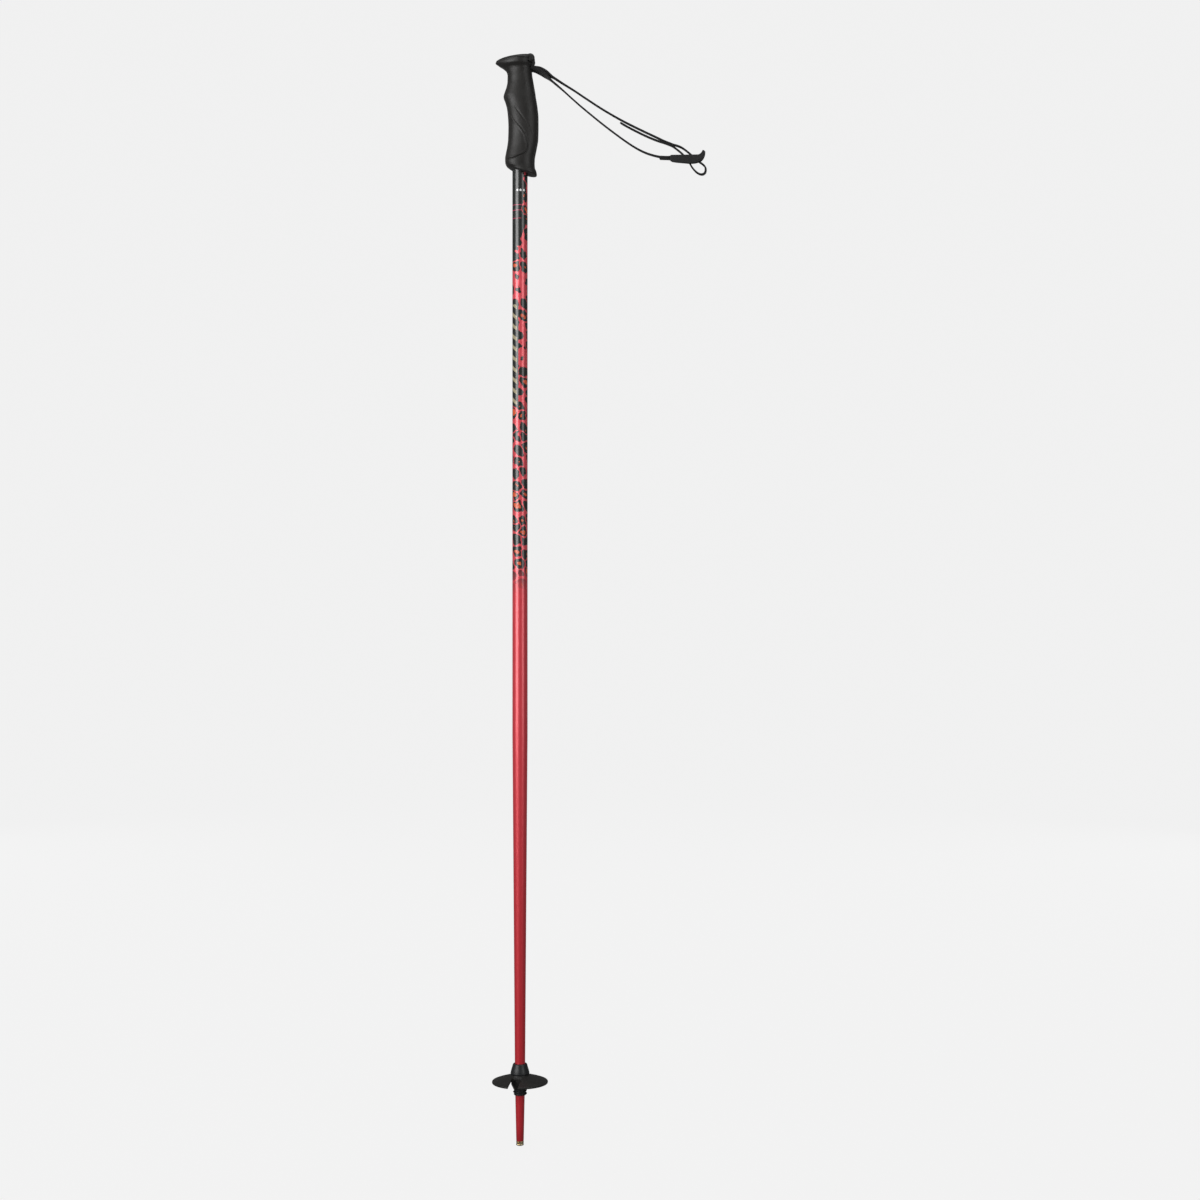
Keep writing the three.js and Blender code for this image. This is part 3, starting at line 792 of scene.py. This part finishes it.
def tip():
    """Steel tip: a fluted ring with a hollow-ground end, on a shank pressed into the tube."""
    profile = rounded([(0, 2.2), (1.4, 1.5), (2.6, 0.0), (3.5, 0.0), (4.0, 0.5), (4.0, 1.4), (3.82, 1.65),
                       (3.82, 3.3), (4.0, 3.55), (4.0, 4.2), (3.8, 4.5), (2.65, 4.5), (2.65, 30), (2.15, 31),
                       (0, 31)], 0.15, 3, closed=False)
    columns = 160
    rings = turned_points(np.maximum(profile, (0.01, -1)), columns)
    turns = 2 * np.pi * np.arange(columns) / columns
    height = rings[:, :, 2]
    ringed = (np.hypot(rings[:, :, 0], rings[:, :, 1]) > 3) & (height < 4.4)
    flutes = np.where(ringed, 1 - 0.028 * np.maximum(0, np.cos(12 * turns)) ** 2, 1)
    rings[:, :, 0] *= flutes
    rings[:, :, 1] *= flutes
    obj = solid("tip_steel", rings, capped_faces(len(profile), columns))
    look = metal("tip_metal", (0.56, 0.36, 0.14), (0.86, 0.74, 0.48), 0.26, 900)
    return dress(obj, look, "pole", "tip_steel", "tip_insert", angle=45)


# --- basket ---

def ferrule():
    """Cone above the basket, a sleeve through it and a coarse right-hand thread below it."""
    columns, pitch, crest_z = 144, 3.6, 58.2
    shape = rounded([(5.28, 53.1), (6.0, 53.1), (6.45, 53.5), (6.45, 60.2), (6.3, 60.3), (6.3, 75.3),
                     (9.7, 75.3), (10, 75.6), (10, 76.9), (9.75, 77.3), (9.65, 78.2), (9.1, 80.2),
                     (8.4, 82.3), (7.6, 85.2), (7.2, 86.0), (6.4, 86.4), (5.75, 86.4)], 0.35, 3)
    first = next(i for i, (r, z) in enumerate(shape) if z > 53.6 and r > 6.4)
    thread_rows = np.column_stack([np.full(30, 6.45), np.linspace(53.7, 60.0, 30)])
    rest = [p for p in shape[first:] if p[1] > 60.1 or p[0] < 6]
    profile = np.vstack([shape[:first], thread_rows, rest])
    rings = turned_points(profile, columns)
    turns = np.arctan2(rings[:, :, 1], rings[:, :, 0])
    height, radius = rings[:, :, 2], np.hypot(rings[:, :, 0], rings[:, :, 1])
    phase = (height - crest_z) / pitch - turns / (2 * np.pi)
    phase = phase - np.round(phase)
    starting = np.clip((height - 53.4) / 0.8, 0, 1)
    ending = np.clip((60.2 - height) / 0.6, 0, 1)
    crest = np.exp(-(phase / 0.2) ** 4) * starting * ending
    grow = np.where((radius > 6.2) & (height < 60.2), 1 + 0.85 * crest / np.maximum(radius, 1), 1)
    rings[:, :, 0] *= grow
    rings[:, :, 1] *= grow
    obj = solid("ferrule", rings, grid_faces(len(profile), columns, closed=True))
    look = moulded("ferrule_plastic", (0.007, 0.008, 0.009), (0.024, 0.026, 0.028), 0.36)
    return dress(obj, look, "pole", "basket_plastic", "basket_ferrule", angle=40)


def basket():
    """Domed disc with a hub, faint rings on top and two slots."""
    reach, hub, ring_pitch, ring_depth = 29.5, 9.4, 1.5, 0.11
    crown_r = np.arange(28.6, 11.2, -0.3)
    crown_z = np.interp(crown_r, (11, 15, 20, 25, 29), (73.4, 72.4, 71, 69.4, 67.9))
    rings = 0.5 + 0.5 * np.cos(2 * np.pi * crown_r / ring_pitch)
    crown = np.column_stack([crown_r, crown_z - ring_depth * rings])
    under = rounded([(6.6, 60.4), (7.4, 60.4), (hub - 0.1, 64.4), (hub, 70.6), (15, 70.2), (22, 68.5),
                     (27.0, 66.8), (29.3, 65.9), (reach, 66.4), (reach, 67.4), (29, 67.85)],
                    0.5, 4, closed=False)
    top = rounded([(11, 73.35), (9.95, 73.8), (9.9, 75), (8, 75), (6.6, 75)], 0.25, 3, closed=False)
    disc = turned("basket_disc", np.vstack([under, crown, top]), 192)
    slots = []
    slot_half, slot_start, past_rim = 5.5, 10.2, 40
    for i, turn in enumerate((-103, 77)):
        corner = rounded([(slot_start, -slot_half), (past_rim, -slot_half), (past_rim, slot_half),
                          (slot_start, slot_half)], 2.2, 6)
        points = [np.column_stack([corner, np.full(len(corner), z)]) for z in (55.0, 85.0)]
        slot = solid(f"slot_{i}", np.stack(points), capped_faces(2, len(corner)))
        slot.data.transform(Matrix.Rotation(math.radians(turn), 4, "Z"))
        slots.append(slot)
    combine(disc, "DIFFERENCE", *slots)
    bevel = disc.modifiers.new("bevel", "BEVEL")
    bevel.width = 0.3 * MM
    bevel.segments = 2
    bevel.limit_method = "ANGLE"
    bevel.angle_limit = math.radians(60)
    bevel.use_clamp_overlap = True
    settle(disc)
    look = moulded("basket_plastic", (0.008, 0.008, 0.008), (0.026, 0.025, 0.023), 0.46, grain=1900,
                   depth=0.0001)
    return dress(disc, look, "basket", "basket_plastic", "basket", angle=32)


# --- grip ---

GRIP_RINGS = np.array((  # height, front, rear, half width, narrowing towards the beak
    (1016, -9.3, 17.6, 13.2, 0),
    (1023.4, -9.3, 17.8, 13.3, 0),
    (1027.6, -9.5, 17, 13.2, 0),
    (1029.6, -11, 16, 13.2, 0),
    (1032.6, -14.3, 15.6, 13.4, 0),
    (1036, -15.5, 15.5, 13.7, 0),
    (1040, -15.7, 15.7, 13.8, 0),
    (1046, -14.8, 16.7, 13.7, 0),
    (1052, -13.6, 17.9, 13.6, 0),
    (1061, -12.5, 19.3, 13.7, 0),
    (1074, -12.2, 19.6, 13.8, 0),
    (1084, -12.7, 19.5, 13.8, 0),
    (1093, -13.7, 18.7, 13.7, 0),
    (1099.3, -15.4, 17.8, 13.6, 0),
    (1105.6, -17.3, 16.7, 13.5, 0),
    (1109.5, -16.3, 16.2, 13.3, 0),
    (1115, -14.4, 15.2, 13, 0),
    (1121.5, -13.2, 14.1, 12.8, 0.05),
    (1127.8, -13.1, 13, 13, 0.1),
    (1132, -14.3, 12.7, 13.4, 0.2),
    (1135.5, -18, 12.8, 14.4, 0.35),
    (1137.4, -21.2, 13, 15.9, 0.43),
    (1138.9, -23.4, 13.2, 17.2, 0.5),
    (1140.8, -25.8, 13.8, 17.9, 0.6),
    (1143.3, -24.8, 14.4, 18.1, 0.6),
))
PANEL_EDGE = (  # the lower front panel's rear edge: heights, then how far back it reaches
    (1038.2, 1038.6, 1039.6, 1043.2, 1047, 1051, 1054.7, 1063.7, 1071.1, 1075.9, 1083, 1090),
    (-16, -9.5, -3.8, 4.5, 7.8, 8.4, 8.2, 6.2, 0.8, -3.4, -9, -14),
)
PALM_CREASE = ((-4.5, 1092), (3, 1081.5), (9, 1073), (13.6, 1064.8))
THUMB_RIDGES = (((6.2, 1133.5), (2.1, 1126.7)), ((12, 1125), (5.8, 1116.2)))


def oval(turn):
    """A slightly squared circle: how far along X and across Y its edge is at a turn, from -1 to 1."""
    along = np.sign(np.cos(turn)) * np.abs(np.cos(turn)) ** OVAL_POWER
    across = np.sign(np.sin(turn)) * np.abs(np.sin(turn)) ** OVAL_POWER
    return along, across


def palm_point(height, turn):
    """A point of the hand-shaped surface at a height and a turn about the pole, 0 towards the rear."""
    front, rear, half, beak = (follow(GRIP_RINGS[:, 0], GRIP_RINGS[:, k], height) for k in range(1, 5))
    along, across = oval(turn)
    narrowing = 1 - beak * ((1 - along) / 2) ** 2
    return (front + rear) / 2 + (rear - front) / 2 * along, half * across * narrowing


def off_line(x, z, line):
    """Distance in side view from each point to a line through [x, z] points."""
    best = np.full(x.shape, 1e9)
    for (ax, az), (bx, bz) in zip(line, line[1:]):
        dx, dz = bx - ax, bz - az
        t = np.clip(((x - ax) * dx + (z - az) * dz) / (dx * dx + dz * dz), 0, 1)
        best = np.minimum(best, np.hypot(x - ax - t * dx, z - az - t * dz))
    return best


def grip_relief(x, z):
    """How far the flank stands proud of the plain palm shape, in millimetres."""
    heights, reaches = PANEL_EDGE
    inside = np.sign(np.interp(z, heights, reaches) - x)
    inside = np.where((z < heights[0]) | (z > heights[-1]), -1, inside)
    off = inside * off_line(x, z, list(zip(reaches, heights)))
    fade = np.clip((1089 - z) / 14, 0, 1)
    relief = fade * (0.42 * np.exp(-((off - 0.9) / 1.1) ** 2) - 0.5 * np.exp(-((off + 0.35) / 0.55) ** 2))
    inside_share = np.clip(off / 1.6 + 0.3, 0, 1)
    swell = np.exp(-((np.maximum(off, 0) - 2) / 6) ** 2)
    relief += fade * 0.32 * swell * inside_share ** 2 * (3 - 2 * inside_share)
    crease = off_line(x, z, PALM_CREASE)
    relief -= 0.38 * np.exp(-(crease / 0.7) ** 2) * np.clip((z - 1063) / 4, 0, 1)
    for ridge in THUMB_RIDGES:
        relief += 0.16 * np.exp(-(off_line(x, z, ridge) / 0.7) ** 2)
    return relief


def grip_body():
    """Soft grip: slanted foot with a rounded edge, finger bump, beak, sculpted flanks and a strap slot."""
    columns, rows, edge, middle = 176, 250, 1.1, 3.5
    turn = 2 * np.pi * np.arange(columns) / columns

    # The foot is a slanted plane. Its outline depends on its height there and the height on the outline.
    slant_from, slant_high, slant_run, slant_drop = -40, 1037.2, 80, 21
    foot = np.full(columns, 1026.0)
    for _ in range(12):
        x, _ = palm_point(foot, turn)
        foot = slant_high - (x - slant_from) / slant_run * slant_drop
    rings = []
    for bend in np.linspace(0, np.pi / 2, 6)[:-1]:
        height = foot + edge * (1 - math.cos(bend))
        x, y = palm_point(height, turn)
        inset = edge * (1 - math.sin(bend))
        reach = np.hypot(x - middle, y)
        shrink = (reach - inset) / reach
        rings.append(np.column_stack([middle + (x - middle) * shrink, y * shrink, height]))
    top = GRIP_RINGS[-1, 0]
    for share in np.linspace(0, 1, rows):
        height = foot + edge + (top - foot - edge) * share
        x, y = palm_point(height, turn)
        flank = np.clip((np.abs(y) / 13 - 0.35) / 0.4, 0, 1) * np.clip((height - foot - 3) / 3, 0, 1)
        y = y + np.sign(y) * flank * grip_relief(x, height)
        rings.append(np.column_stack([x, y, height]))
    grip = solid("grip_rubber", np.stack(rings), capped_faces(len(rings), columns))
    core = plug("core_room", [(0, 1031), (9.9, 1031), (9.9, 1150), (0, 1150)], 96)
    bore = plug("shaft_room", [(0, 1000), (8.3, 1000), (8.3, 1031.3), (0, 1031.3)], 96)
    channel = block("channel", rounded([(-2.8, 1133.3), (5, 1133.4), (19, 1132), (19, 1138.8), (9, 1139.4),
                                        (5, 1141.2), (-2.8, 1141.2)], 0.5, 3), 7.9)
    roll = cross_bar("roll_room", *LIP_AT, 4.9, 12.7)
    combine(grip, "DIFFERENCE", core, bore, channel, roll)
    look = moulded("grip_rubber", (0.0100, 0.0094, 0.0087), (0.0240, 0.0224, 0.0202), 0.46, grain=2300,
                   depth=0.00004, sheen=0.05)
    return dress(grip, look, "pole", "grip_rubber", "grip_body", angle=42)


CAP_RINGS = np.array((  # height, front, rear, half width
    (1143.6, -24.3, 14.2, 18.1),
    (1144.6, -22.6, 14.6, 17.9),
    (1145.6, -20.6, 14.9, 16.9),
    (1146.8, -17.6, 15, 15),
    (1148.3, -11.8, 14.6, 11.2),
    (1149.3, -6.6, 13.9, 7.6),
    (1150, -2.5, 12.6, 4),
))


def head_cap():
    """Cap crowned along and across the head, with a soft foot edge and a rolled lip behind."""
    columns, beak, edge = 160, 0.6, 0.35
    along, across = oval(2 * np.pi * np.arange(columns) / columns)
    across = across * (1 - beak * ((1 - along) / 2) ** 2)
    foot, top = CAP_RINGS[0, 0], CAP_RINGS[-1, 0]
    rings = []
    for height in foot + (top - foot) * np.linspace(0, 1, 26):
        front, rear, half = (follow(CAP_RINGS[:, 0], CAP_RINGS[:, k], height) for k in (1, 2, 3))
        if height == foot:
            front, rear, half = front + edge, rear - edge, half - edge
        middle, reach = (front + rear) / 2, (rear - front) / 2
        rings.append(np.column_stack([middle + reach * along, half * across, np.full(columns, height)]))
    cap = solid("head_cap_shell", np.stack(rings), capped_faces(len(rings), columns))
    lip = cross_bar("lip", *LIP_AT, 4.6, 12.4, edge=2.6, columns=96)
    combine(cap, "UNION", lip)
    sink = plug("sink", [(0, 1130), (1.6, 1130), (1.6, 1145.1), (3.35, 1147.1), (3.35, 1152), (0, 1152)], 48)
    sink.data.transform(Matrix.Translation((SCREW_X * MM, 0, 0)))
    combine(cap, "DIFFERENCE", sink)
    look = moulded("cap_plastic", (0.010, 0.0098, 0.0092), (0.028, 0.0272, 0.025), 0.42, grain=1300,
                   depth=0.0001)
    return dress(cap, look, "pole", "cap_plastic", "head_cap", angle=38)


def cap_screw():
    """Countersunk screw with a cross recess and a threaded shank."""
    head, radius, groove, half_pitch = 1148.3, 1.3, 0.22, 0.4
    shank = [(radius - groove * (k % 2), head - 14.5 + half_pitch * k) for k in range(30)]
    profile = [(0, head - 16.8), (0.9, head - 15.2), *shank, (radius, head - 2.6), (2.9, head - 1.0),
               (3.0, head - 0.5), (2.85, head - 0.1), (2.4, head), (0, head)]
    screw = plug("screw", profile, 64)
    slots = []
    for i, (wide, long) in enumerate(((0.38, 1.5), (1.5, 0.38))):
        outline = rounded([(-wide, -long), (wide, -long), (wide, long), (-wide, long)], 0.3, 4)
        points = [np.column_stack([outline * share, np.full(len(outline), z)])
                  for share, z in ((0.35, head - 1.6), (1.05, head + 0.2))]
        slots.append(solid(f"recess_{i}", np.stack(points), capped_faces(2, len(outline))))
    combine(screw, "DIFFERENCE", *slots)
    screw.data.transform(Matrix.Translation((SCREW_X * MM, 0, 0)))
    look = metal("zinc", (0.42, 0.43, 0.44), (0.62, 0.63, 0.64), 0.36, 1400)
    dress(screw, look, "pole", "zinc_steel", "cap_screw", angle=40)
    return look


def inner_pieces(zinc):
    """The sleeve and the pin keep their CAD shapes and get finished materials."""
    core = moulded("core_plastic", (0.016, 0.016, 0.016), (0.04, 0.04, 0.04), 0.5)
    for node, look in (("grip_core", core), ("strap_pin", zinc)):
        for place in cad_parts[node].material_slots:
            place.material = look


camera()
buckle()
webbing()
shaft()
tip()
ferrule()
basket()
grip_body()
head_cap()
inner_pieces(cap_screw())
stage()
